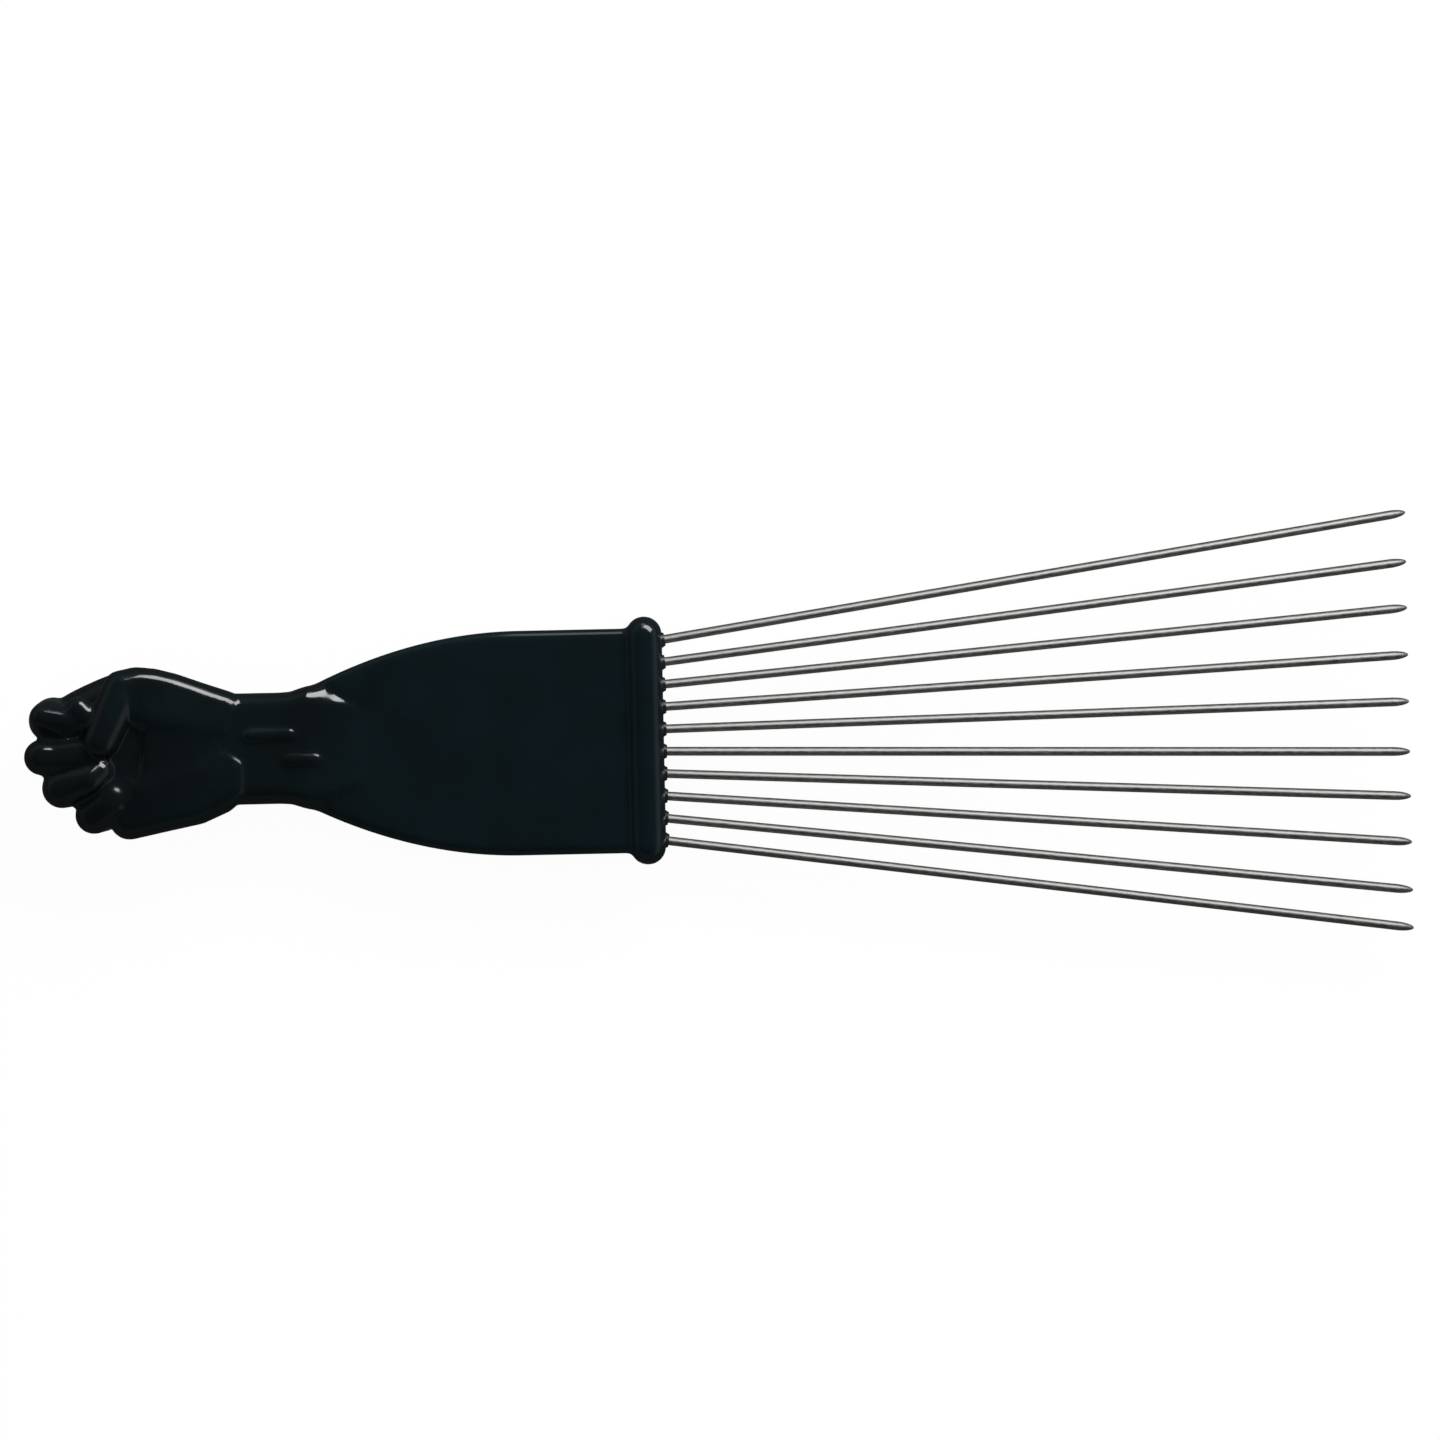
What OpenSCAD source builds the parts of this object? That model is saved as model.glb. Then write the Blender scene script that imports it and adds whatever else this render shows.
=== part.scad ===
// Afro pick: a moulded handle in the form of a raised fist, and a fan of ten steel wire tines.
// The pick lies on its back. +X runs along it towards the tips of the tines, +Y towards the index
// finger's side, and +Z out of the palm. The origin is under the middle of the pick, at the height
// of the surface that it lies on. All lengths are in millimetres and all angles in degrees.

/* [Overall] */
// Reach of the tines in front of the mouth, measured straight along the pick
tine_reach = 129.4; // [100:0.2:150]

/* [Fist] */
// Length of the hand, from the crease of the wrist to the knuckles
hand_l = 36.2; // [33:0.2:39]
// Width of the hand at its widest
hand_w = 29.4; // [27:0.2:33]
// Depth of the fist, from the back of the hand to the front of the thumb
fist_t = 17.55; // [16:0.05:19.5]
// Thickness of a finger
finger_d = 7.3; // [6.6:0.1:8]
// Thickness of the thumb near its tip
thumb_d = 7.4; // [6.6:0.1:8.2]

/* [Forearm] */
// Length of the forearm, from the crease of the wrist to the body
forearm_l = 11.4; // [8:0.2:24]
// Width of the forearm
forearm_w = 19.2; // [17:0.2:22]
// Thickness of the forearm
forearm_t = 11.6; // [10.4:0.1:14]
// Height of the forearm's back above the surface that the pick lies on
forearm_lift = 0.6; // [0.3:0.1:1.5]
// Length of the tongue in which the forearm sinks into the body
tongue_l = 13; // [9:0.2:18]
// Thickness of the two tendons on the inside of the wrist
tendon_d = 2.6; // [2:0.1:3.2]

/* [Body] */
// Length of the body, from the end of the forearm to the mouth
body_l = 63; // [58:0.2:67]
// Length over which the body flares out to its full width
flare_l = 38; // [30:0.2:42]
// Thickness of the body
body_t = 8; // [7:0.1:10]
// Radius of the body's long edges
body_edge_r = 1.6; // [1.2:0.1:3.5]
// Distance from the axis of the outermost tine, at the mouth, to the side of the body
mouth_margin = 2.05; // [1.7:0.05:4]
// Wall over and under the hollow of the body
face_wall = 1.6; // [1.2:0.1:2]
// Wall beside the hollow of the body
side_wall = 2.2; // [1.6:0.1:3.5]

/* [Rim] */
// Radius of the rolled rim at the mouth
rim_r = 3.1; // [2.6:0.05:3.6]
// How far the rim stands out from the body
rim_out = 2.05; // [1.5:0.05:2.5]

/* [Tines] */
// Number of tines
tine_count = 10; // [6:1:12]
// Thickness of the wire
tine_d = 1.55; // [1.2:0.05:1.8]
// Distance between the axes of two tines at the mouth
tine_pitch = 3.87; // [3.4:0.01:4.4]
// Angle between two tines
fan_angle = 1.86; // [1.2:0.02:2.2]
// Length of the rounded point
point_l = 3; // [1.5:0.1:5]
// Diameter of the head at the foot of a tine
head_d = 2.2; // [2:0.05:2.5]
// Length of that head
head_l = 0.8; // [0.5:0.05:1.2]

/* [Tine block] */
// Depth of the block that holds the tines
block_l = 14; // [10:0.5:20]
// Plastic outside the outermost tine and its head
block_margin = 0.5; // [0.4:0.05:0.7]
// Depth of the heads below the back of the block
head_recess = 0.4; // [0.3:0.05:0.8]
// Ledge in the handle that the back of the block stops against
ledge_w = 0.8; // [0.4:0.1:1.2]
// Diameter of the collar round the foot of each tine
collar_d = 2.7; // [2.4:0.05:3]
// Height of that collar
collar_h = 0.5; // [0.3:0.05:1]

/* [Fits] */
// Gap between the block and its socket, each side
block_clear = 0.05; // [0.02:0.01:0.15]
// Gap between a tine and its hole, on the radius
tine_clear = 0.02; // [0.01:0.01:0.05]

/* [Hidden] */
tine_names = [for (i = [1:tine_count]) str("tine_", i < 10 ? "0" : "", i)];

plastic = [0.05, 0.09, 0.11];
steel = [0.62, 0.6, 0.58];
// How far every cut runs past what it cuts
overrun = 1;

// Places along the pick
handle_l = hand_l + forearm_l + body_l;
mouth_x = (handle_l - tine_reach) / 2;
neck_x = mouth_x - body_l;
wrist_x = neck_x - forearm_l;
// Heights
mid_z = body_t / 2 + rim_out;
body_top_z = mid_z + body_t / 2;
body_back_z = mid_z - body_t / 2;
forearm_top_z = forearm_lift + forearm_t;

// The row of tines
tine_r = tine_d / 2;
row_half = (tine_count - 1) / 2 * tine_pitch;
edge_angle = (tine_count - 1) / 2 * fan_angle;
body_half = row_half + mouth_margin;
neck_half = forearm_w / 2;

// The block follows the outermost tine at its front and that tine's head at its back
block_front_half = row_half + tine_r + block_margin;
block_back_half = min(
    block_front_half,
    row_half - block_l * tan(edge_angle) + head_d / 2 + tine_clear + block_margin
);
block_t = body_t - 2 * face_wall - 2 * block_clear;
grip_l = block_l - head_l - head_recess;

// Numbers of steps in the curves
ring_n = 36;
corner_n = 6;
flare_n = 12;
rim_n = 12;
point_n = 8;
span_n = 2;
ball_n = 24;
web_n = 16;

// A closed skin through a list of rings, each a list of as many points, in order along +X
module skin(rings) {
    n = len(rings[0]);
    last = len(rings) - 1;
    sides = [
        for (i = [0:last - 1], k = [0:n - 1], upper = [0, 1])
            let (a = i * n + k, b = i * n + (k + 1) % n)
                upper == 1 ? [a, b + n, b] : [a, a + n, b + n]
    ];
    start = [for (k = [0:n - 1]) k];
    end = [for (k = [n - 1:-1:0]) last * n + k];
    polyhedron([for (r = rings) each r], concat(sides, [start, end]));
}

// A smooth curve through the rows of a table, at share t of the way from row i to the next
function row(rows, i) = rows[max(0, min(len(rows) - 1, i))];
function between(rows, i, t) =
    let (a = row(rows, i - 1), b = row(rows, i), c = row(rows, i + 1), d = row(rows, i + 2))
        b + t * (c - a) / 2
        + t * t * (2 * a - 5 * b + 4 * c - d) / 2
        + t * t * t * (3 * b - a - 3 * c + d) / 2;
function smooth(rows) = [
    for (i = [0:len(rows) - 2], s = [0:span_n - 1]) between(rows, i, s / span_n),
    rows[len(rows) - 1]
];

// Body and rim: flat faces with round long edges, flared from the neck, with a tube rolled round the
// mouth. The rim is the body's own section grown by as much as the tube stands out at that place.
// Inside the rim the edges keep at least this share of their radius.
least_edge_share = 0.3;

function flare_half(x) =
    let (share = max(0, min(1, (x - neck_x) / flare_l)))
        neck_half + (body_half - neck_half) * share * (2 - share);

function rim_growth(x) =
    let (from_middle = x - (mouth_x - rim_r), inset = rim_r - rim_out)
        max(x < mouth_x - rim_r ? 0 : -inset, sqrt(max(0, rim_r ^ 2 - from_middle ^ 2)) - inset);

function corner(side_y, side_z, start, half_w, half_t, r) = [
    for (k = [0:corner_n])
        let (a = start + 90 * k / corner_n)
            [side_y * (half_w - r) + r * cos(a), side_z * (half_t - r) + r * sin(a)]
];

function body_ring(x, half, growth) =
    let (
        w = half + growth,
        t = body_t / 2 + growth,
        r = max(least_edge_share * body_edge_r, body_edge_r + growth)
    )
        [
            for (p = concat(
                corner(1, 1, 0, w, t, r),
                corner(-1, 1, 90, w, t, r),
                corner(-1, -1, 180, w, t, r),
                corner(1, -1, 270, w, t, r)
            ))
                [x, p[0], mid_z + p[1]]
        ];

module body_skin() {
    flare_x = [for (k = [0:flare_n]) neck_x + flare_l * k / flare_n];
    rim_start = mouth_x - rim_r - sqrt(rim_r ^ 2 - (rim_r - rim_out) ^ 2);
    rim_x = [for (k = [0:rim_n]) rim_start + (mouth_x - rim_start) * (1 - cos(180 * k / rim_n)) / 2];
    skin([for (x = concat(flare_x, rim_x)) body_ring(x, flare_half(x), rim_growth(x))]);
}

// Forearm and palm: one skin from the tongue on the body to the roots of the fingers
// Each row is a place in a share of tongue_l, a half width in a share of the forearm's, and how much
// of the forearm's height over the body is left there, also a share
tongue_shares = [
    [1, 0.79, 0],
    [0.69, 0.917, 0.4],
    [0.385, 1, 0.7],
    [0.24, 1.06, 0.85],
    [0.108, 1.09, 0.96],
    [0, 1.03, 1]
];
// Each row is a place in a share of hand_l from the wrist, the little finger's side and the index
// finger's side in shares of hand_w, and the back and the palm in shares of fist_t
hand_shares = [
    [0, 0.327, 0.327, 0.038, 0.696],
    [0.1, 0.33, 0.33, 0.032, 0.698],
    [0.2, 0.41, 0.38, 0.013, 0.715],
    [0.3, 0.46, 0.445, 0.006, 0.725],
    [0.42, 0.49, 0.48, 0.003, 0.715],
    [0.53, 0.49, 0.475, 0.003, 0.693],
    [0.63, 0.43, 0.435, 0.003, 0.698],
    [0.74, 0.32, 0.375, 0.005, 0.698],
    [0.84, 0.22, 0.32, 0.027, 0.682],
    [0.92, 0.12, 0.22, 0.087, 0.541]
];
// Where the tongue ends it lies this much under the body's faces
tongue_sink = 0.5;
// How square the forearm and the palm are: 2 is an ellipse
oval_power_share = 2.5;

function oval(p) =
    let (low_y = p[1], high_y = p[2], mid = (p[3] + p[4]) / 2, half = (p[4] - p[3]) / 2)
        [
            for (k = [0:ring_n - 1])
                let (
                    a = 360 * k / ring_n,
                    across = pow(abs(cos(a)), 2 / oval_power_share),
                    up = pow(abs(sin(a)), 2 / oval_power_share)
                )
                    [p[0], cos(a) > 0 ? across * high_y : -across * low_y, mid + sign(sin(a)) * up * half]
        ];

module arm_skin() {
    low_sink_z = body_back_z + tongue_sink;
    high_sink_z = body_top_z - tongue_sink;
    forearm = [
        for (s = tongue_shares)
            [
                neck_x + s[0] * tongue_l,
                s[1] * neck_half,
                s[1] * neck_half,
                low_sink_z + s[2] * (forearm_lift - low_sink_z),
                high_sink_z + s[2] * (forearm_top_z - high_sink_z)
            ]
    ];
    middle = [[(neck_x + wrist_x) / 2, neck_half, neck_half, forearm_lift, forearm_top_z]];
    hand = [
        for (s = hand_shares)
            [wrist_x - s[0] * hand_l, s[1] * hand_w, s[2] * hand_w, s[3] * fist_t, s[4] * fist_t]
    ];
    rows = smooth(concat(forearm, middle, hand));
    skin([for (i = [len(rows) - 1:-1:0]) oval(rows[i])]);
}

// Fingers, thumb and the balls of the hand: chains of rounded links between joints
// Each row is a joint: its place along, across and up in shares of hand_l from the wrist, of hand_w
// and of fist_t, and its thickness in a share of finger_d
index_shares = [
    [0.87, 0.207, 0.313, 0.99],
    [0.884, 0.197, 0.684, 0.96],
    [0.798, 0.177, 0.695, 0.9],
    [0.713, 0.224, 0.718, 0.79]
];
middle_shares = [
    [0.862, -0.027, 0.228, 0.93],
    [0.914, -0.02, 0.746, 0.85],
    [0.843, -0.029, 0.718, 0.85],
    [0.771, -0.02, 0.735, 0.85],
    [0.68, -0.01, 0.718, 0.79],
    [0.583, 0.02, 0.598, 0.71]
];
ring_shares = [
    [0.79, -0.204, 0.228, 0.93],
    [0.82, -0.207, 0.689, 0.96],
    [0.652, -0.136, 0.798, 0.74],
    [0.558, -0.054, 0.689, 0.71],
    [0.486, -0.01, 0.644, 0.66]
];
little_shares = [
    [0.644, -0.361, 0.211, 0.88],
    [0.674, -0.371, 0.604, 0.89],
    [0.572, -0.279, 0.718, 0.68],
    [0.514, -0.245, 0.581, 0.6]
];
// The same for the thumb and for the two balls of the hand, with thicknesses in shares of thumb_d.
// A ball has two rows of joints: one along its edge and one in the palm.
thumb_shares = [
    [0.53, 0.371, 0.707, 0.84],
    [0.552, 0.289, 0.718, 0.97],
    [0.586, 0.187, 0.764, 0.92],
    [0.63, 0.065, 1, 0.85],
    [0.602, 0.075, 0.598, 0.7]
];
thenar_edge_shares = [
    [0.028, 0.235, 0.575, 0.84],
    [0.157, 0.289, 0.61, 0.85],
    [0.293, 0.35, 0.638, 0.85],
    [0.381, 0.379, 0.652, 0.85],
    [0.459, 0.389, 0.672, 0.85],
    [0.53, 0.371, 0.707, 0.85]
];
thenar_palm_shares = [
    [0.044, 0.122, 0.564, 0.84],
    [0.155, 0.15, 0.638, 0.84],
    [0.279, 0.177, 0.678, 0.84],
    [0.376, 0.201, 0.684, 0.84],
    [0.445, 0.228, 0.667, 0.84],
    [0.514, 0.255, 0.661, 0.84]
];
heel_edge_shares = [
    [0.033, -0.235, 0.547, 0.89],
    [0.182, -0.32, 0.558, 0.95],
    [0.348, -0.361, 0.57, 0.95],
    [0.506, -0.401, 0.547, 0.95]
];
heel_palm_shares = [
    [0.03, -0.068, 0.593, 0.81],
    [0.182, -0.122, 0.593, 0.92],
    [0.32, -0.17, 0.615, 0.95],
    [0.431, -0.218, 0.615, 0.95]
];
// The skin between two fingers lies this much under them, and that in the palm this much under the
// balls, both in shares of finger_d. Its own balls are this share of theirs.
finger_web_share = 0.26;
palm_web_share = 0.1;
web_ball_share = 0.35;
// A web reaches this much down into the hand, in a share of finger_d.
web_drop_share = 0.7;

// A joint's place and radius. No joint stands out of the depth of the fist.
function joint(s, thickness) =
    let (r = s[3] * thickness / 2)
        [wrist_x - s[0] * hand_l, s[1] * hand_w, max(r, min(fist_t - r, s[2] * fist_t)), r];
function joints(rows, thickness) = [for (s = rows) joint(s, thickness)];

module balls(places, faces)
    for (p = places)
        translate([p[0], p[1], p[2]])
            sphere(r = p[3], $fn = faces);

module limb(places)
    for (i = [0:len(places) - 2])
        hull()
            balls([places[i], places[i + 1]], ball_n);

// One skin round two rows of joints side by side
module pad(upper, lower)
    for (i = [0:min(len(upper), len(lower)) - 2])
        hull()
            balls([upper[i], upper[i + 1], lower[i], lower[i + 1]], ball_n);

// A web fills what lies between two rows of joints, down into the hand.
module web(upper, lower, depth)
    for (i = [0:len(upper) - 2])
        hull()
            for (drop = [0, web_drop_share * finger_d])
                translate([0, 0, -drop])
                    balls(
                        sunk([upper[i], upper[i + 1], lower[i], lower[i + 1]], depth * finger_d),
                        web_n
                    );

function sunk(places, depth) = [
    for (j = places)
        let (r = web_ball_share * j[3])
            [j[0], j[1], j[2] + j[3] - depth - r, r]
];

module fist() {
    index = joints(index_shares, finger_d);
    middle = joints(middle_shares, finger_d);
    ring = joints(ring_shares, finger_d);
    little = joints(little_shares, finger_d);
    for (finger = [index, middle, ring, little])
        limb(finger);
    for (pair = [[index, middle], [middle, ring], [ring, little]])
        web(
            [for (i = [1:3]) pair[0][i]],
            [for (i = [1:3]) pair[1][i]],
            finger_web_share
        );
    thenar_palm = joints(thenar_palm_shares, thumb_d);
    heel_palm = joints(heel_palm_shares, thumb_d);
    limb(joints(thumb_shares, thumb_d));
    pad(joints(thenar_edge_shares, thumb_d), thenar_palm);
    pad(joints(heel_edge_shares, thumb_d), heel_palm);
    web([for (i = [0:3]) thenar_palm[i]], heel_palm, palm_web_share);
    web([thenar_palm[3], middle[4]], [heel_palm[3], little[2]], finger_web_share);
}

// Each row is a tendon: its place across the forearm in a share of neck_half, and where it ends past
// the neck in a share of tongue_l
tendon_shares = [[0.24, 0], [-0.2, 0.3]];
// How deep their axes lie at the wrist and at the neck, in shares of tendon_d
tendon_depth_shares = [0.6, 0.36];

module tendons() {
    r = tendon_d / 2;
    wrist_z = forearm_top_z - tendon_depth_shares[0] * tendon_d;
    end_z = forearm_top_z - tendon_depth_shares[1] * tendon_d;
    for (s = tendon_shares)
        hull()
            balls(
                [
                    [wrist_x + r, s[0] * neck_half, wrist_z, r],
                    [neck_x + s[1] * tongue_l, s[0] * neck_half, end_z, r]
                ],
                ball_n
            );
}

// Hollow of the handle: the socket for the block, and the core behind it, which narrows all the way
// so that it draws out of the mouth
core_end_x = neck_x - (neck_x - wrist_x) / 2;
core_back_x = mouth_x - block_l - block_clear;

function core_half(x) =
    min(block_back_half - ledge_w, flare_half(x) - side_wall)
    * sqrt(max(0, min(1, (x - core_end_x) / neck_half)));

function block_plan(gap, extra) =
    let (slope = (block_front_half - block_back_half) / block_l)
        [
            for (side = [1, -1])
                let (front = [mouth_x + extra, side * (block_front_half + gap + extra * slope)],
                    back = [mouth_x - block_l - gap, side * (block_back_half + gap)])
                    each side == 1 ? [front, back] : [back, front]
        ];

module hollow() {
    high = [for (k = [0:flare_n]) core_end_x + (core_back_x - core_end_x) * k / flare_n];
    side = [for (x = high) [x, core_half(x)]];
    other = [for (k = [flare_n:-1:1]) [high[k], -core_half(high[k])]];
    core_plan = concat(side, [[core_back_x + overrun, core_half(core_back_x)]],
        [[core_back_x + overrun, -core_half(core_back_x)]], other);
    depth = block_t + 2 * block_clear;
    translate([0, 0, mid_z - depth / 2])
        linear_extrude(depth) {
            polygon(core_plan);
            polygon(block_plan(block_clear, overrun));
        }
}

module handle() {
    color(plastic)
        difference() {
            union() {
                body_skin();
                arm_skin();
                fist();
                tendons();
            }
            hollow();
        }
}

// Tines and the block that holds them
function tine_place(i) = i - (tine_count + 1) / 2;

// The wires aren't set quite evenly. Each leans this much off its place in the fan, in a share of
// fan_angle, from the little finger's side on. More wires than this start at the front again.
tine_lean_shares = [0.27, -0.1, -0.05, -0.08, -0.16, -0.01, 0, 0.02, -0.01, 0.08];

function tine_angle(i) =
    (tine_place(i) + tine_lean_shares[(i - 1) % len(tine_lean_shares)]) * fan_angle;

// Puts what stands on +Z onto the axis of tine i, with its zero in the plane of the mouth
module on_tine(i)
    translate([mouth_x, tine_place(i) * tine_pitch, mid_z])
        rotate([0, 90, tine_angle(i)])
            children();

module tine_block() {
    color(plastic)
        difference() {
            union() {
                translate([0, 0, mid_z - block_t / 2])
                    linear_extrude(block_t)
                        polygon(block_plan(0, 0));
                for (i = [1:tine_count])
                    on_tine(i)
                        translate([0, 0, -collar_h])
                            cylinder(h = 2 * collar_h, d1 = collar_d + collar_h, d2 = collar_d - collar_h, $fn = 48);
            }
            for (i = [1:tine_count])
                on_tine(i) {
                    translate([0, 0, -block_l - overrun])
                        cylinder(h = block_l + collar_h + 2 * overrun, r = tine_r + tine_clear, $fn = 32);
                    translate([0, 0, -grip_l / cos(tine_angle(i)) - head_l - head_recess - overrun])
                        cylinder(h = head_l + head_recess + overrun, r = head_d / 2 + tine_clear, $fn = 32);
                }
        }
}

// A tine is turned about its own axis: head, shank, and a point that is half an ellipsoid. All the
// points end on one straight line across the pick.
module tine(i) {
    a = tine_angle(i);
    point_reach = sqrt((point_l * cos(a)) ^ 2 + (tine_r * sin(a)) ^ 2);
    shank_l = (tine_reach - point_reach) / cos(a);
    foot_l = grip_l / cos(a);
    point = [for (k = [0:point_n]) [tine_r * cos(90 * k / point_n), shank_l + point_l * sin(90 * k / point_n)]];
    color(steel)
        on_tine(i)
            rotate_extrude($fn = 32)
                polygon(concat(
                    [[0, -foot_l - head_l], [head_d / 2, -foot_l - head_l], [head_d / 2, -foot_l], [tine_r, -foot_l]],
                    point
                ));
}

handle();
tine_block();
for (i = [1:tine_count])
    tine(i);
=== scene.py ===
import math

import bpy
import numpy as np
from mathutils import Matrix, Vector


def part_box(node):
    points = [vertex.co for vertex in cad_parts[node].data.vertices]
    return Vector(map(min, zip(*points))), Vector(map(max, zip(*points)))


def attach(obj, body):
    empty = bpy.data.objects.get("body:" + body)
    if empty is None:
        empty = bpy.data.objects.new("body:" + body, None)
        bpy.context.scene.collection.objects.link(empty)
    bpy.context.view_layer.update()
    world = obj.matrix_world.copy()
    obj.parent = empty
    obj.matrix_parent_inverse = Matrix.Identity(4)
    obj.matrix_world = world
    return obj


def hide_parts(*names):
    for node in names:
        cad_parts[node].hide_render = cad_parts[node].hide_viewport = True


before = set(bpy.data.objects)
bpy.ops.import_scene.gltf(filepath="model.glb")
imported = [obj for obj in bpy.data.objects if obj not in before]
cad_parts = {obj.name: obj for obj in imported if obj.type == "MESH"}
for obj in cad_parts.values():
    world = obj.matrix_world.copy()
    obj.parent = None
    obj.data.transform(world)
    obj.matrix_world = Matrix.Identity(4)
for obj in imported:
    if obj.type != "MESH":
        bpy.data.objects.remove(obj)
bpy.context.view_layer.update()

# The pick lies on its back, +X towards the tips of the tines and +Z out of the palm. The packed
# pieces give the places that everything else is worked out from, and sizes are in metres.


# Handle
# One injection moulding in gloss black plastic: a raised fist on a forearm that sinks into a flat,
# flared blade, with a rolled rim round its mouth. A core pulled out of the mouth leaves it hollow.
mm = 0.001
handle_low, handle_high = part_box("handle")
wire_low, wire_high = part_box("tine_01")

mouth_x = handle_high.x
middle_z = (wire_low.z + wire_high.z) / 2
blade_length = 63 * mm
blade_thickness = 8 * mm
blade_edge_radius = 1.6 * mm
edge_steps = 8
blade_half_width = 19.465 * mm
flare_length = 38 * mm
neck_x = mouth_x - blade_length
rim_radius = 3.1 * mm
rim_standing_out = 2.05 * mm
forearm_half_width = 9.6 * mm
hand_length = 36.2 * mm
hand_width = 29.4 * mm
fist_depth = handle_high.z
wrist_x = handle_low.x + hand_length
# Parts of a mesh are picked out by their place, to within this much
slack = 0.01 * mm


def deselect_all():
    bpy.ops.object.select_all(action="DESELECT")


def make_active(piece):
    deselect_all()
    piece.select_set(True)
    bpy.context.view_layer.objects.active = piece


def apply_modifier(piece, kind, **settings):
    make_active(piece)
    modifier = piece.modifiers.new(kind.lower(), kind)
    for name, value in settings.items():
        setattr(modifier, name, value)
    bpy.ops.object.modifier_apply(modifier=modifier.name)


def join_all(pieces, name):
    make_active(pieces[0])
    for piece in pieces:
        piece.select_set(True)
    bpy.ops.object.join()
    bpy.ops.object.transform_apply(location=True, rotation=True, scale=True)
    joined = bpy.context.object
    joined.name = name
    return joined


def smooth_share(low, high, value):
    share = np.clip((value - low) / (high - low), 0, 1)
    return share * share * (3 - 2 * share)


def blade_half(x):
    """Half the width of the blade at x: it flares from the neck along half a parabola."""
    share = min(max((x - neck_x) / flare_length, 0), 1)
    return forearm_half_width + (blade_half_width - forearm_half_width) * share * (2 - share)


def rounded_block(length, half_width, half_height, radius, x):
    """A block along X with its four long edges rounded, its back end at x."""
    deselect_all()
    bpy.ops.mesh.primitive_cube_add(size=2, location=(x + length / 2, 0, middle_z))
    block = bpy.context.object
    block.scale = (length / 2, half_width, half_height)
    bpy.ops.object.transform_apply(location=True, rotation=True, scale=True)
    bpy.ops.object.mode_set(mode="EDIT")
    bpy.ops.mesh.select_mode(type="EDGE")
    bpy.ops.mesh.select_all(action="DESELECT")
    bpy.ops.object.mode_set(mode="OBJECT")
    for edge in block.data.edges:
        a, b = (block.data.vertices[i].co for i in edge.vertices)
        edge.select = abs(a.x - b.x) > length / 2
    bpy.ops.object.mode_set(mode="EDIT")
    bpy.ops.mesh.bevel(offset=radius, segments=edge_steps, affect="EDGES")
    bpy.ops.object.mode_set(mode="OBJECT")
    return block


def select_where(piece, test):
    """In edit mode: selects just the vertices whose place passes the test."""
    bpy.ops.mesh.select_mode(type="VERT")
    bpy.ops.mesh.select_all(action="DESELECT")
    bpy.ops.object.mode_set(mode="OBJECT")
    for vertex in piece.data.vertices:
        vertex.select = test(vertex.co)
    bpy.ops.object.mode_set(mode="EDIT")


def flared_blade():
    """The flat blade: its front end is pulled out step by step, and each is spread sideways."""
    steps = 48
    sink = 6 * mm
    half_height = blade_thickness / 2
    blade = rounded_block(sink, forearm_half_width, half_height, blade_edge_radius, neck_x - sink)
    bpy.ops.object.mode_set(mode="EDIT")
    x, half = neck_x, forearm_half_width
    stations = [neck_x + flare_length * (k + 1) / steps for k in range(steps)]
    stations.append(mouth_x - rim_radius)
    for next_x in stations:
        select_where(blade, lambda co: co.x > x - slack)
        bpy.ops.mesh.extrude_region_move(TRANSFORM_OT_translate={"value": (next_x - x, 0, 0)})
        spread = blade_half(next_x) - half
        for side in (-1, 1):
            select_where(blade, lambda co: co.x > next_x - slack and co.y * side > 0)
            bpy.ops.transform.translate(value=(0, side * spread, 0))
        x, half = next_x, half + spread
    bpy.ops.object.mode_set(mode="OBJECT")
    return blade


def rolled_rim():
    """The rim is a round tube bent round the mouth, and a plug fills it up to the end face."""
    tube_steps = 12
    least_corner = 0.5 * mm
    stub = 2 * mm
    inset = rim_radius - rim_standing_out
    half_y = blade_half_width - inset
    half_z = blade_thickness / 2 - inset
    corner = max(blade_edge_radius - inset, least_corner)
    outline = rounded_block(stub, half_y, half_z, corner, mouth_x - rim_radius)
    bpy.ops.object.mode_set(mode="EDIT")
    select_where(outline, lambda co: co.x > mouth_x - rim_radius + stub / 2)
    bpy.ops.mesh.delete(type="VERT")
    bpy.ops.mesh.select_all(action="SELECT")
    bpy.ops.mesh.delete(type="ONLY_FACE")
    bpy.ops.object.mode_set(mode="OBJECT")
    bpy.ops.object.convert(target="CURVE")
    tube = bpy.context.object
    tube.data.bevel_depth = rim_radius
    tube.data.bevel_resolution = tube_steps
    tube.data.use_fill_caps = False
    bpy.ops.object.convert(target="MESH")
    plug = rounded_block(rim_radius, half_y, half_z, corner, mouth_x - rim_radius)
    return [tube, plug]


def in_hand(along, across, up):
    """A place in the hand, in shares of its length from the wrist, its width and its depth."""
    return Vector((wrist_x - along * hand_length, across * hand_width, up * fist_depth))


ball_segments, ball_rings = 56, 28


def skinned(*rails):
    """A finger, pad or web: balls along each rail, and each step of the rails wrapped in a skin."""
    made = []
    for step in range(len(rails[0]) - 1):
        deselect_all()
        balls = [rail[place] for rail in rails for place in (step, step + 1)]
        for number, (centre, radius) in enumerate(balls):
            bpy.ops.mesh.primitive_uv_sphere_add(
                segments=ball_segments, ring_count=ball_rings, radius=radius, location=centre
            )
            if number == 0:
                skin = bpy.context.object
                bpy.ops.object.transform_apply(location=True, rotation=True, scale=True)
                bpy.ops.object.mode_set(mode="EDIT")
        bpy.ops.mesh.select_all(action="SELECT")
        bpy.ops.mesh.convex_hull()
        bpy.ops.object.mode_set(mode="OBJECT")
        made.append(skin)
    return made


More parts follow.
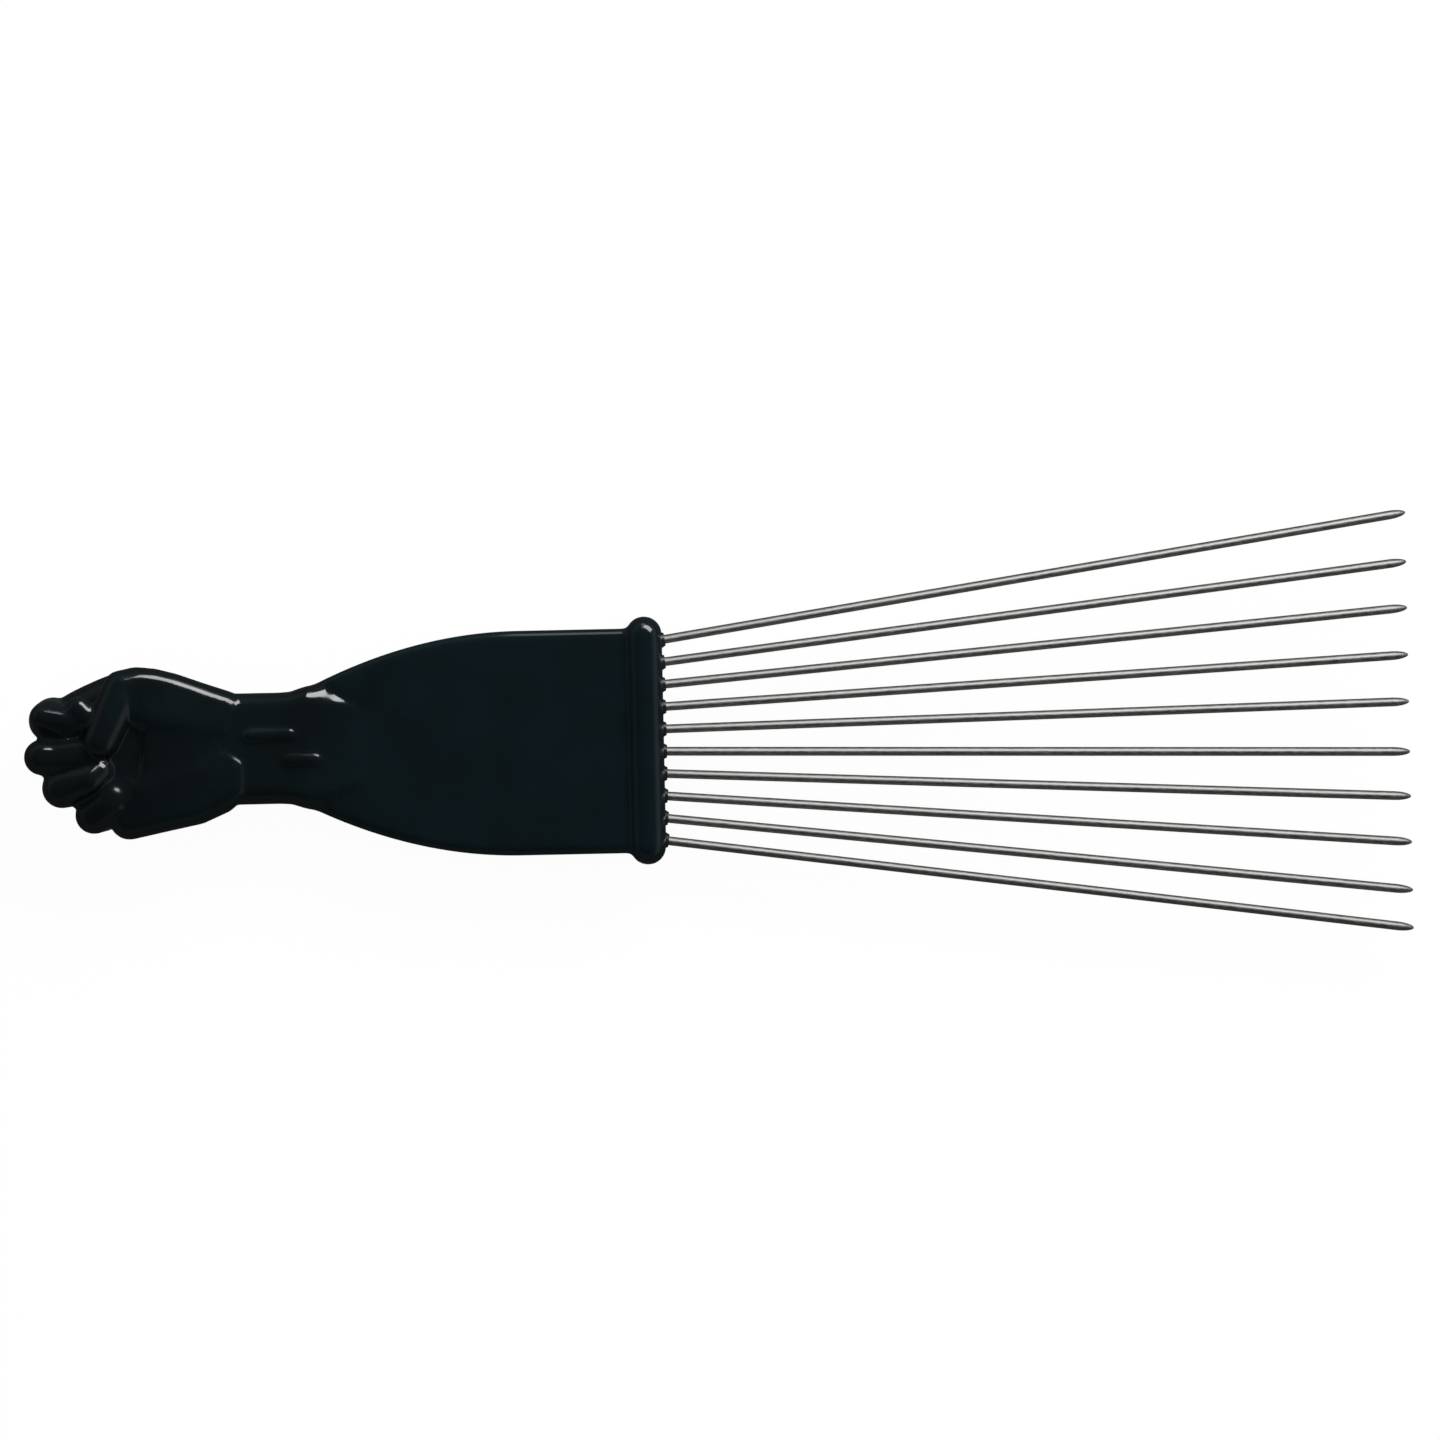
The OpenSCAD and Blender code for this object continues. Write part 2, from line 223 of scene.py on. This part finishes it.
def cross_section_loft(rows):
    """A soft form through sections. A row is x, the sides at -Y and +Y, the back and the front."""
    points = 12
    levels = 3
    deselect_all()
    bpy.ops.mesh.primitive_circle_add(
        vertices=points, radius=1, fill_type="NGON", rotation=(0, math.pi / 2, 0)
    )
    form = bpy.context.object
    bpy.ops.object.transform_apply(location=True, rotation=True, scale=True)
    bpy.ops.object.mode_set(mode="EDIT")
    bpy.ops.mesh.select_all(action="SELECT")
    x, middle_y, middle_height, half_y, half_z = 0, 0, 0, 1, 1
    for step, (next_x, low_y, high_y, back, front) in enumerate(rows):
        if step:
            bpy.ops.mesh.extrude_region_move(TRANSFORM_OT_translate={"value": (0, 0, 0)})
        new_y, new_z = (low_y + high_y) / 2, (back + front) / 2
        new_half_y, new_half_z = (high_y - low_y) / 2, (front - back) / 2
        bpy.ops.transform.resize(
            value=(1, new_half_y / half_y, new_half_z / half_z),
            center_override=(x, middle_y, middle_height),
        )
        bpy.ops.transform.translate(value=(next_x - x, new_y - middle_y, new_z - middle_height))
        x, middle_y, middle_height, half_y, half_z = next_x, new_y, new_z, new_half_y, new_half_z
    bpy.ops.mesh.select_all(action="SELECT")
    bpy.ops.mesh.normals_make_consistent(inside=False)
    bpy.ops.object.mode_set(mode="OBJECT")
    apply_modifier(form, "SUBSURF", levels=levels, render_levels=levels)
    return form


# A subdivided section shrinks inside its cage, so the sections are drawn this much larger
cage_share = 1.05
forearm_front = 12.2 * mm
# Along the hand from the wrist: place, the side at -Y, the side at +Y, the back and the palm
hand_shares = [
    (-0.04, 0.25, 0.25, 0.065, 0.65),
    (0.06, 0.3, 0.3, 0.038, 0.693),
    (0.14, 0.33, 0.32, 0.027, 0.704),
    (0.21, 0.42, 0.39, 0.013, 0.715),
    (0.3, 0.47, 0.455, 0.006, 0.725),
    (0.42, 0.495, 0.485, 0.003, 0.715),
    (0.53, 0.5, 0.48, 0.003, 0.671),
    (0.63, 0.44, 0.44, 0.003, 0.65),
    (0.74, 0.32, 0.38, 0.005, 0.65),
    (0.84, 0.22, 0.32, 0.027, 0.628),
    (0.92, 0.12, 0.22, 0.087, 0.541),
]


def hand_core():
    rows = []
    for along, low, high, back, palm in hand_shares:
        rows.append((
            wrist_x - along * hand_length,
            -low * hand_width * cage_share,
            high * hand_width * cage_share,
            back * fist_depth,
            palm * fist_depth,
        ))
    return cross_section_loft(rows)


finger_radius = 3.65 * mm
thumb_radius = 3.7 * mm


def joints(rows, radius):
    """The balls of a rail, each a place in the hand and a radius."""
    return [(in_hand(*place), thickness * radius) for *place, thickness in rows]


# Each row of these rails is a ball: how far along the hand from the wrist, across and up, and then
# its radius in shares of the finger's or the thumb's
forearm_edge_shares = [
    (0.072, 0.221, 0.508, 0.85),
    (-0.218, 0.221, 0.508, 0.85),
    (-0.287, 0.226, 0.508, 0.85),
    (-0.354, 0.255, 0.502, 0.84),
    (-0.39, 0.267, 0.485, 0.84),
    (-0.453, 0.236, 0.459, 0.84),
    (-0.519, 0.214, 0.437, 0.84),
    (-0.619, 0.19, 0.4, 0.84),
    (-0.729, 0.153, 0.342, 0.84),
]
forearm_middle_shares = [
    (0.072, 0.0, 0.519, 0.84),
    (-0.218, 0.0, 0.519, 0.84),
    (-0.287, 0.0, 0.519, 0.84),
    (-0.354, 0.0, 0.514, 0.84),
    (-0.39, 0.0, 0.502, 0.84),
    (-0.453, 0.0, 0.479, 0.84),
    (-0.519, 0.0, 0.451, 0.84),
    (-0.619, 0.0, 0.405, 0.84),
    (-0.729, 0.0, 0.342, 0.84),
]
forearm_back_shares = [
    (0.072, 0.221, 0.214, 0.85),
    (-0.218, 0.221, 0.214, 0.85),
    (-0.287, 0.224, 0.214, 0.85),
    (-0.354, 0.245, 0.223, 0.84),
    (-0.39, 0.248, 0.231, 0.84),
    (-0.453, 0.228, 0.245, 0.84),
    (-0.519, 0.207, 0.263, 0.84),
    (-0.619, 0.184, 0.285, 0.84),
    (-0.729, 0.153, 0.32, 0.84),
]
index_shares = [
    (0.87, 0.207, 0.314, 0.99),
    (0.876, 0.19, 0.639, 0.99),
    (0.796, 0.16, 0.656, 0.92),
    (0.702, 0.184, 0.656, 0.77),
]
index_ridge_shares = [
    (0.862, 0.211, 0.342, 0.93),
    (0.906, 0.214, 0.771, 0.6),
    (0.804, 0.192, 0.765, 0.58),
    (0.704, 0.201, 0.742, 0.55),
]
index_tip_shares = [
    (0.732, 0.253, 0.759, 0.63),
    (0.706, 0.214, 0.759, 0.63),
]
middle_shares = [
    (0.862, -0.027, 0.228, 0.93),
    (0.912, -0.024, 0.748, 0.85),
    (0.845, -0.029, 0.728, 0.85),
    (0.771, -0.02, 0.736, 0.85),
    (0.68, -0.01, 0.742, 0.79),
    (0.583, 0.02, 0.599, 0.71),
]
ring_shares = [
    (0.79, -0.204, 0.228, 0.93),
    (0.82, -0.207, 0.691, 0.96),
    (0.688, -0.16, 0.813, 0.68),
    (0.641, -0.112, 0.756, 0.68),
    (0.608, -0.082, 0.622, 0.66),
    (0.564, -0.048, 0.508, 0.6),
]
little_shares = [
    (0.644, -0.361, 0.211, 0.88),
    (0.674, -0.371, 0.605, 0.89),
    (0.579, -0.281, 0.702, 0.77),
    (0.519, -0.245, 0.565, 0.66),
]
thumb_shares = [
    (0.53, 0.371, 0.708, 0.84),
    (0.552, 0.289, 0.719, 0.97),
    (0.586, 0.187, 0.765, 0.92),
    (0.63, 0.065, 0.822, 0.85),
]
thumb_pad_edge_shares = [
    (0.041, 0.241, 0.554, 0.84),
    (0.157, 0.289, 0.611, 0.85),
    (0.293, 0.35, 0.639, 0.85),
    (0.381, 0.379, 0.654, 0.85),
    (0.459, 0.389, 0.674, 0.85),
    (0.53, 0.371, 0.708, 0.85),
]
thumb_pad_palm_shares = [
    (0.066, 0.129, 0.554, 0.84),
    (0.155, 0.15, 0.628, 0.84),
    (0.279, 0.177, 0.679, 0.84),
    (0.376, 0.201, 0.685, 0.84),
    (0.445, 0.228, 0.668, 0.84),
    (0.514, 0.255, 0.662, 0.84),
]
heel_edge_shares = [
    (-0.008, -0.228, 0.623, 0.51),
    (0.072, -0.265, 0.548, 0.92),
    (0.182, -0.32, 0.559, 0.95),
    (0.348, -0.361, 0.571, 0.95),
    (0.506, -0.401, 0.548, 0.95),
]
heel_palm_shares = [
    (-0.008, -0.105, 0.623, 0.54),
    (0.047, -0.031, 0.652, 0.3),
    (0.182, -0.122, 0.594, 0.92),
    (0.32, -0.17, 0.616, 0.95),
    (0.431, -0.218, 0.616, 0.95),
]
web_share = 0.35
web_depth = 1.5 * mm
palm_valley_depth = 0.5 * mm
palm_hollow_depth = 2 * mm
tendon_radius = 1.25 * mm


def mirrored(rows):
    return [(along, -across, up, thickness) for along, across, up, thickness in rows]


def forearm():
    """The forearm has soft edges and a low crown, and sinks into the blade at its end."""
    rails = [joints(forearm_middle_shares, thumb_radius)]
    for rows in (forearm_edge_shares, forearm_back_shares):
        rails += [joints(rows, thumb_radius), joints(mirrored(rows), thumb_radius)]
    return skinned(*rails)


def on_blade(along, across, z):
    """A place from the neck along the pick and across it, both in millimetres, at height z."""
    return neck_x + along * mm, across * mm, z


# Thin ridges on the front of the forearm: two tendons, and on each side the shoulder of the blade.
# Each row is a place along from the neck, how far across, and how deep it lies, in millimetres
long_tendon = [(-9.6, 2.3, 1.3), (-8.6, 2.3, 0.45), (-1.4, 2.3, 0.68), (-0.4, 2.3, 1.2)]
short_tendon = [(-2.6, -2, 1.2), (-1.8, -2, 0.55), (2.4, -2, 0.85), (3.4, -2, 1.4)]
shoulder = [(4.2, 9.2, 3.5), (5.2, 8.8, 3.2), (8, 7.75, 3.3), (9, 7.4, 3.7)]
other_shoulder = [(along, -across, depth) for along, across, depth in shoulder]


def forearm_ridges():
    made = []
    for rows in (long_tendon, short_tendon, other_shoulder, shoulder):
        rail = []
        for along, across, depth in rows:
            centre = Vector(on_blade(along, across, forearm_front - depth * mm))
            rail.append((centre, tendon_radius))
        made += skinned(rail)
    return made


def between(upper_rows, lower_rows, depth):
    """The plastic that fills the gap between two fingers or pads, this far below their tops."""
    rails = []
    for rows in (upper_rows, lower_rows):
        rail = []
        for centre, radius in joints(rows, finger_radius):
            web_radius = web_share * radius
            rail.append((centre + Vector((0, 0, radius - depth - web_radius)), web_radius))
        rails.append(rail)
    return skinned(*rails)


parts = [flared_blade(), *rolled_rim(), hand_core()]
parts += forearm()
parts += skinned(joints(index_shares, finger_radius), joints(index_ridge_shares, finger_radius))
for rows in (index_tip_shares, middle_shares, ring_shares, little_shares):
    parts += skinned(joints(rows, finger_radius))
for upper, lower in ((index_shares, middle_shares), (middle_shares, ring_shares)):
    parts += between(upper[1:4], lower[1:4], web_depth)
parts += between(ring_shares[1:3], little_shares[1:3], web_depth)
parts += skinned(joints(thumb_shares, thumb_radius))
for edge_rows, palm_rows in (
    (thumb_pad_edge_shares, thumb_pad_palm_shares),
    (heel_edge_shares, heel_palm_shares),
):
    parts += skinned(joints(edge_rows, thumb_radius), joints(palm_rows, thumb_radius))
parts += between(thumb_pad_palm_shares[:4], heel_palm_shares[1:5], palm_valley_depth)
upper_side = [thumb_pad_palm_shares[3], middle_shares[4]]
lower_side = [heel_palm_shares[4], little_shares[2]]
parts += between(upper_side, lower_side, palm_hollow_depth)
parts += forearm_ridges()

# All of it becomes one closed skin, which is then faired
voxel = 0.36 * mm
fairing = 0.5
fairing_passes = 8
handle = join_all(parts, "handle_moulding")
apply_modifier(handle, "REMESH", mode="VOXEL", voxel_size=voxel, adaptivity=0)
apply_modifier(handle, "SMOOTH", factor=fairing, iterations=fairing_passes)


def places(piece):
    """The piece's vertices as rows of x, y and z."""
    flat = np.empty(len(piece.data.vertices) * 3)
    piece.data.vertices.foreach_get("co", flat)
    return flat.reshape(-1, 3)


def soften(piece, shares, passes):
    """Smooths the piece as much as each vertex's share says, in tenths."""
    tenths = np.round(shares * 10)
    group = piece.vertex_groups.new(name="soft")
    for level in range(1, 11):
        members = np.nonzero(tenths == level)[0]
        group.add([int(member) for member in members], level / 10, "REPLACE")
    apply_modifier(piece, "SMOOTH", factor=fairing, iterations=passes, vertex_group="soft")
    piece.vertex_groups.remove(piece.vertex_groups["soft"])


def near(points, low, high, fade):
    """1 inside the box of low and high corners, falling to 0 within the fade round it."""
    outside = np.maximum(np.maximum(np.array(low) - points, points - np.array(high)), 0)
    return 1 - smooth_share(0, fade, np.linalg.norm(outside, axis=1))


# Where the skin is smoothed further: a box's low and high corners, its fade, and the passes. The
# palm comes first, then the two shoulders, the tendons, and the end of the little finger
above_all = 1
for low, high, fade, passes in (
    (in_hand(0.42, -0.2, 0.6), in_hand(0.12, 0.17, 1), 3 * mm, 40),
    (on_blade(2.5, -10.5, middle_z), on_blade(5.2, -8.5, above_all), 1.2 * mm, 130),
    (on_blade(2.5, 8.5, middle_z), on_blade(5.2, 10.5, above_all), 1.2 * mm, 130),
    (on_blade(-10, -4, middle_z + 3 * mm), on_blade(4, 4, above_all), 1 * mm, 3),
    (in_hand(0.59, -0.3, 0.5), in_hand(0.5, -0.18, 1), 1.2 * mm, 120),
):
    soften(handle, near(places(handle), low, high, fade), passes)


def hollow_core():
    """What the core leaves empty: the socket for the tine block, and a cavity up to the wrist."""
    # Each row is a place from the mouth, half the width there, and half the height, in millimetres
    core = [(-68.2, 1.8, 2.4), (-67.2, 3.2, 2.4), (-65, 5, 2.4), (-62, 6.7, 2.4), (-58, 8.6, 2.4)]
    core += [(-52, 11.7, 2.4), (-44, 14.5, 2.4), (-36, 16.1, 2.4), (-14.1, 16.175, 2.4)]
    socket = [(-14.06, 17.03, 2.4), (-0.35, 18.67, 2.4), (0.5, 19.3, 3.1)]
    start = 1 * mm
    squeeze = 1.9 * mm
    made = []
    for rows in (core, socket):
        (x, half_y, half_z), *rest = [[number * mm for number in row] for row in rows]
        x += mouth_x
        deselect_all()
        bpy.ops.mesh.primitive_cube_add(size=2, location=(x - start, 0, middle_z))
        hole = bpy.context.object
        hole.scale = (start, half_y, half_z)
        bpy.ops.object.transform_apply(location=True, rotation=True, scale=True)
        bpy.ops.object.mode_set(mode="EDIT")
        select_where(hole, lambda co: co.x < x - start)
        bpy.ops.transform.translate(value=(squeeze, 0, 0))
        for place, new_y, new_z in rest:
            next_x = mouth_x + place
            select_where(hole, lambda co: co.x > x - slack)
            bpy.ops.mesh.extrude_region_move(TRANSFORM_OT_translate={"value": (next_x - x, 0, 0)})
            bpy.ops.transform.resize(
                value=(1, new_y / half_y, new_z / half_z), center_override=(next_x, 0, middle_z)
            )
            x, half_y, half_z = next_x, new_y, new_z
        bpy.ops.object.mode_set(mode="OBJECT")
        made.append(hole)
    return made


for hole in hollow_core():
    apply_modifier(handle, "BOOLEAN", operation="DIFFERENCE", solver="EXACT", object=hole)
    bpy.data.objects.remove(hole)
sharp_angle = math.radians(40)
make_active(handle)
bpy.ops.object.shade_smooth_by_angle(angle=sharp_angle)


def principled(name):
    """A new material, its Principled shader and its node tree."""
    material = bpy.data.materials.new(name)
    material.use_nodes = True
    return material, material.node_tree.nodes["Principled BSDF"], material.node_tree


def dress(piece, material):
    piece.data.materials.clear()
    piece.data.materials.append(material)


def add_node(tree, kind, **settings):
    """A node with its settings, and the values or links of its inputs by name or number."""
    node = tree.nodes.new("ShaderNode" + kind)
    inputs = settings.pop("inputs", {})
    for name, value in settings.items():
        setattr(node, name, value)
    for name, value in inputs.items():
        feed(tree, node, name, value)
    return node


def feed(tree, node, name, value):
    if isinstance(value, bpy.types.NodeSocket):
        tree.links.new(value, node.inputs[name])
    else:
        node.inputs[name].default_value = value


def value_math(tree, operation, *terms):
    node = add_node(tree, "Math", operation=operation, inputs=dict(enumerate(terms)))
    return node.outputs[0]


def ramp(tree, socket, start, end, low, high):
    """A smooth ramp: low where the socket is at start, high where it is at end."""
    inputs = {"Value": socket, "From Min": start, "From Max": end, "To Min": low, "To Max": high}
    slope = add_node(tree, "MapRange", interpolation_type="SMOOTHSTEP", inputs=inputs)
    return slope.outputs["Result"]


def noise(tree, place, per_metre, detail, roughness=0.5):
    inputs = {"Vector": place, "Scale": per_metre, "Detail": detail, "Roughness": roughness}
    return add_node(tree, "TexNoise", inputs=inputs).outputs[0]


def group_tree(name, sockets):
    """An empty node group with these outputs, and the node that they are fed through."""
    group = bpy.data.node_groups.new(name, "ShaderNodeTree")
    for socket, kind in sockets:
        group.interface.new_socket(name=socket, in_out="OUTPUT", socket_type="NodeSocket" + kind)
    return group, group.nodes.new("NodeGroupOutput")


def bump(tree, height, strength, depth):
    inputs = {"Strength": strength, "Distance": depth, "Height": height}
    return add_node(tree, "Bump", inputs=inputs).outputs[0]


def mixed_colour(tree, share, low, high):
    """The colour low where the share is 0, and high where it is 1."""
    inputs = {0: share, 6: (*low, 1), 7: (*high, 1)}
    return add_node(tree, "Mix", data_type="RGBA", inputs=inputs).outputs[2]


# The moulded skin: an uneven polish, thin scuffs from use, and the mould's faint orange peel
outputs = (("Haze", "Float"), ("Scuffs", "Float"), ("Normal", "Vector"))
moulded_skin, output = group_tree("moulded_skin", outputs)
tree = moulded_skin
haze_per_metre = 90
peel_per_metre = 700
scuff_lean = 0.35
scuffs_per_metre = (60, 2200, 2200)
here = add_node(tree, "TexCoord").outputs["Object"]
haze = noise(tree, here, haze_per_metre, detail=3, roughness=0.6)
placing = {"Vector": here, "Rotation": (0, 0, scuff_lean), "Scale": scuffs_per_metre}
drawn_out = add_node(tree, "Mapping", inputs=placing)
scratch = noise(tree, drawn_out.outputs[0], 1, detail=2, roughness=0.4)
scratched = ramp(tree, scratch, 0.66, 0.74, 0, 1)
worn = ramp(tree, haze, 0.45, 0.6, 0, 1)
feed(tree, output, "Haze", haze)
feed(tree, output, "Scuffs", value_math(tree, "MULTIPLY", scratched, worn))
peel = noise(tree, here, peel_per_metre, detail=2)
feed(tree, output, "Normal", bump(tree, peel, strength=0.12, depth=0.01 * mm))

# Gloss black: the hand is a little warmer than the blade, and both are mottled
warm_black = (0.0044, 0.0072, 0.0082)
cool_black = (0.0044, 0.0106, 0.0134)
warm_end, cool_start = neck_x - 10 * mm, neck_x + 30 * mm
gloss_roughness = (0.1, 0.15)
mottle_span = (0.35, 0.65)
polish_span = (0.3, 0.7)
scuff_roughness = 0.12
gloss_black, shader, tree = principled("gloss_black_plastic")
skin = add_node(tree, "Group", node_tree=moulded_skin).outputs
here = add_node(tree, "TexCoord").outputs["Object"]
place_x = add_node(tree, "SeparateXYZ", inputs={0: here}).outputs["X"]
mottled = ramp(tree, skin["Haze"], *mottle_span, -0.3, 0.3)
cool = value_math(tree, "ADD", ramp(tree, place_x, warm_end, cool_start, 0.15, 0.8), mottled)
feed(tree, shader, "Base Color", mixed_colour(tree, cool, warm_black, cool_black))
polish = ramp(tree, skin["Haze"], *polish_span, *gloss_roughness)
scuffed = value_math(tree, "MULTIPLY", skin["Scuffs"], scuff_roughness)
feed(tree, shader, "Roughness", value_math(tree, "ADD", polish, scuffed))
feed(tree, shader, "Normal", skin["Normal"])
dress(handle, gloss_black)
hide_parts("handle")
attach(handle, "root")


# Tine block
# A moulded plug in the same plastic with a satin skin, pressed into the mouth of the handle. Its
# bores hold the wires in their fan, and a small collar stands round the foot of each wire.
satin_low = (0.0042, 0.0075, 0.0088)
satin_high = (0.006, 0.0105, 0.0125)
satin_roughness = (0.28, 0.38)
satin_black, shader, tree = principled("satin_black_plastic")
skin = add_node(tree, "Group", node_tree=moulded_skin).outputs
mottled = ramp(tree, skin["Haze"], *mottle_span, 0, 1)
feed(tree, shader, "Base Color", mixed_colour(tree, mottled, satin_low, satin_high))
feed(tree, shader, "Roughness", ramp(tree, skin["Haze"], *polish_span, *satin_roughness))
feed(tree, shader, "Normal", skin["Normal"])
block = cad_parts["tine_block"]
dress(block, satin_black)


# Tines
# Ten drawn steel wires, cut to length, each ground to a rounded point and upset to a small head at
# its foot. They are pushed through the block from behind, until the head seats.
wires = [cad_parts["tine_%02d" % number] for number in range(1, 11)]

# The draw lines run along each wire, so the noise is laid out in circles round the point that all
# the wires fan out from
fan_x = mouth_x - 119 * mm
grain_along, grain_around, grain_up = 800, 700, 3500
wire_grain, output = group_tree("wire_grain", (("Grain", "Float"), ("Normal", "Vector")))
tree = wire_grain
here = add_node(tree, "TexCoord").outputs["Object"]
place = add_node(tree, "SeparateXYZ", inputs={0: here}).outputs
along = value_math(tree, "SUBTRACT", place["X"], fan_x)
turn = value_math(tree, "ARCTAN2", place["Y"], along)
stretched = add_node(tree, "CombineXYZ", inputs={
    "X": value_math(tree, "MULTIPLY", along, grain_along),
    "Y": value_math(tree, "MULTIPLY", turn, grain_around),
    "Z": value_math(tree, "MULTIPLY", place["Z"], grain_up),
}).outputs[0]
lines = noise(tree, stretched, 1, detail=4, roughness=0.6)
feed(tree, output, "Grain", lines)
feed(tree, output, "Normal", bump(tree, lines, strength=0.6, depth=0.03 * mm))

steel_tones = ((0.3, (0.44, 0.425, 0.41, 1)), (0.7, (0.7, 0.685, 0.67, 1)))
steel_roughness = (0.4, 0.52)
steel, shader, tree = principled("drawn_steel_wire")
grain = add_node(tree, "Group", node_tree=wire_grain).outputs
tone = add_node(tree, "ValToRGB", inputs={0: grain["Grain"]})
for stop, (position, colour) in zip(tone.color_ramp.elements, steel_tones):
    stop.position, stop.color = position, colour
feed(tree, shader, "Base Color", tone.outputs[0])
feed(tree, shader, "Metallic", 1)
feed(tree, shader, "Roughness", ramp(tree, grain["Grain"], *polish_span, *steel_roughness))
feed(tree, shader, "Normal", grain["Normal"])
for wire in wires:
    dress(wire, steel)


# Floor and room
# The pick lies on a plain pale table top, in a dim room. To the camera both are white, as a sheet
# of paper is in strong light, and the plastic and the steel mirror them only faintly.
floor_size = 4
bpy.ops.mesh.primitive_plane_add(size=floor_size, location=(0, 0, 0))
floor = bpy.context.object
floor.name = "floor"


def scaled_sum(tree, terms):
    """A value that adds up each socket of the terms times its number."""
    total = 0
    for socket, number in terms:
        total = value_math(tree, "MULTIPLY_ADD", socket, number, total)
    return total


def mix_value(tree, share, low, high):
    """The value low where the share is 0, and high where it is 1."""
    return add_node(tree, "Mix", data_type="FLOAT", inputs={0: share, 2: low, 3: high}).outputs[0]


# The floor shows itself to the camera as white, and dimly to the gloss of the plastic and steel
floor_shade = (0.05, 0.05, 0.05, 1)
white = 0.96
dim = 0.01
pale = bpy.data.materials.new("pale_floor")
pale.use_nodes = True
tree = pale.node_tree
tree.nodes.clear()
path = add_node(tree, "LightPath").outputs
seen = ((path["Is Camera Ray"], white), (path["Is Glossy Ray"], dim))
seen += ((path["Is Transmission Ray"], dim),)
matt = add_node(tree, "BsdfDiffuse", inputs={"Color": floor_shade})
glow = add_node(tree, "Emission", inputs={"Strength": scaled_sum(tree, seen)})
both = add_node(tree, "AddShader", inputs={0: matt.outputs[0], 1: glow.outputs[0]})
add_node(tree, "OutputMaterial", inputs={"Surface": both.outputs[0]})
floor.data.materials.append(pale)

# Round the horizon the room is lighter behind the index finger's side, and it is dark overhead
room_light = 0.6
world = bpy.data.worlds.new("studio")
bpy.context.scene.world = world
world.use_nodes = True
tree = world.node_tree
tree.nodes.clear()
direction = add_node(tree, "TexCoord").outputs["Generated"]
split = add_node(tree, "SeparateXYZ", inputs={0: direction}).outputs
around = ramp(tree, split["Y"], -0.4, 0.6, 0.08, 0.16)
window = ramp(tree, split["X"], 0.5, 0.9, 0, 0.25)
height = ramp(tree, split["Z"], 0.7, 0.3, 0.1, 1)
room = value_math(tree, "MULTIPLY", value_math(tree, "ADD", around, window), height)
path = add_node(tree, "LightPath").outputs
level = mix_value(tree, path["Is Diffuse Ray"], room, room_light)
level = mix_value(tree, path["Is Camera Ray"], level, 1)
back = add_node(tree, "Background", inputs={"Strength": level})
add_node(tree, "OutputWorld", inputs={"Surface": back.outputs[0]})


# Lamps
# Three soft lamps, all on the index finger's side: a large one low behind the pick, a small panel
# beside the blade, and a long panel beside the tines.
watts_per_radiance = 4


def lamp(name, pieces, along, azimuth, elevation, distance, length, height, radiance):
    """A rectangular lamp that lights just these pieces, as a card beside it would have it.

    It faces the place this far along the pick, and azimuth is measured from +Y towards +X.
    """
    light = bpy.data.lights.new(name, "AREA")
    light.shape = "RECTANGLE"
    light.size = length
    light.size_y = height
    light.energy = radiance * watts_per_radiance * length * height
    holder = bpy.data.objects.new(name, light)
    bpy.context.scene.collection.objects.link(holder)
    a, e = math.radians(azimuth), math.radians(elevation)
    way = Vector((math.sin(a) * math.cos(e), math.cos(a) * math.cos(e), math.sin(e)))
    holder.location = Vector((along, 0, 0)) + way * distance
    holder.rotation_euler = way.to_track_quat("Z", "Y").to_euler()
    holder.visible_camera = False
    lit = bpy.data.collections.new(name + "_lights")
    for piece in pieces:
        lit.objects.link(piece)
    holder.light_linking.receiver_collection = lit


lamp("key", [handle, block, floor], along=-0.03, azimuth=30, elevation=28, distance=0.9,
     length=0.72, height=0.36, radiance=8)
lamp("edge_panel", [handle], along=-0.018, azimuth=0, elevation=24, distance=0.17,
     length=0.05, height=0.09, radiance=1.3)
lamp("panel", wires, along=0.11, azimuth=0, elevation=54, distance=0.3,
     length=0.34, height=0.22, radiance=1.7)


# Camera
# A long lens looks straight down on the pick from high above, so the tines hardly narrow with
# distance. The camera is turned a little, so that the pick leans up to the right.
picture_width = 249.8 * mm
sensor = 36
lens = 200
lean = math.radians(1.21)
middle_of_picture = (0.4 * mm, 3.28 * mm)
camera = bpy.data.cameras.new("camera")
camera.sensor_width = sensor
camera.lens = lens
holder = bpy.data.objects.new("camera", camera)
bpy.context.scene.collection.objects.link(holder)
holder.location = (*middle_of_picture, middle_z + picture_width * lens / sensor)
holder.rotation_euler = (0, 0, -lean)
bpy.context.scene.camera = holder
bpy.context.scene.view_settings.view_transform = "Standard"
